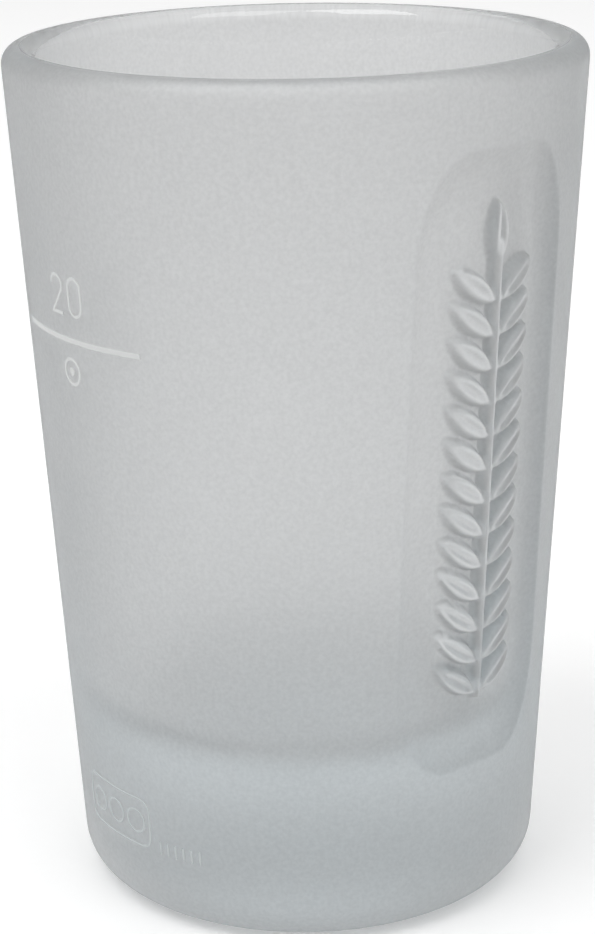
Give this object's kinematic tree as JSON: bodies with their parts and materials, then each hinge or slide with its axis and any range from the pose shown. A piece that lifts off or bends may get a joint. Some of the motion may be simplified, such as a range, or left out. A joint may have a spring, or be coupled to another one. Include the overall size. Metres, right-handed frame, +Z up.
{
  "type": "shot glass",
  "caption": "Small tapered drinking glass with a thick base, a round lip, a recessed front panel holding a raised leaf sprig, and a printed fill line.",
  "frame": {"origin": "centre of the foot, on the surface that the glass stands on", "axes": "+Z up along the glass's axis, -Y towards the recessed front panel, +X to the right of someone facing the panel"},
  "size_m": [0.0396, 0.0396, 0.06],
  "materials": {
    "frosted_glass": "satin frosted outside, fire-polished clear inside and round the lip",
    "white_print": "fired-on white enamel, thin",
    "pale_print": "fired-on enamel, faint and thin"
  },
  "bodies": {
    "root": {"glass_body": "frosted_glass", "leaf_relief": "frosted_glass", "fill_line": "white_print", "volume_numerals": "white_print", "round_emblem": "white_print", "stamp_frame": "pale_print", "stamp_rings": "pale_print", "stamp_ticks": "pale_print"}
  },
  "joints": []
}
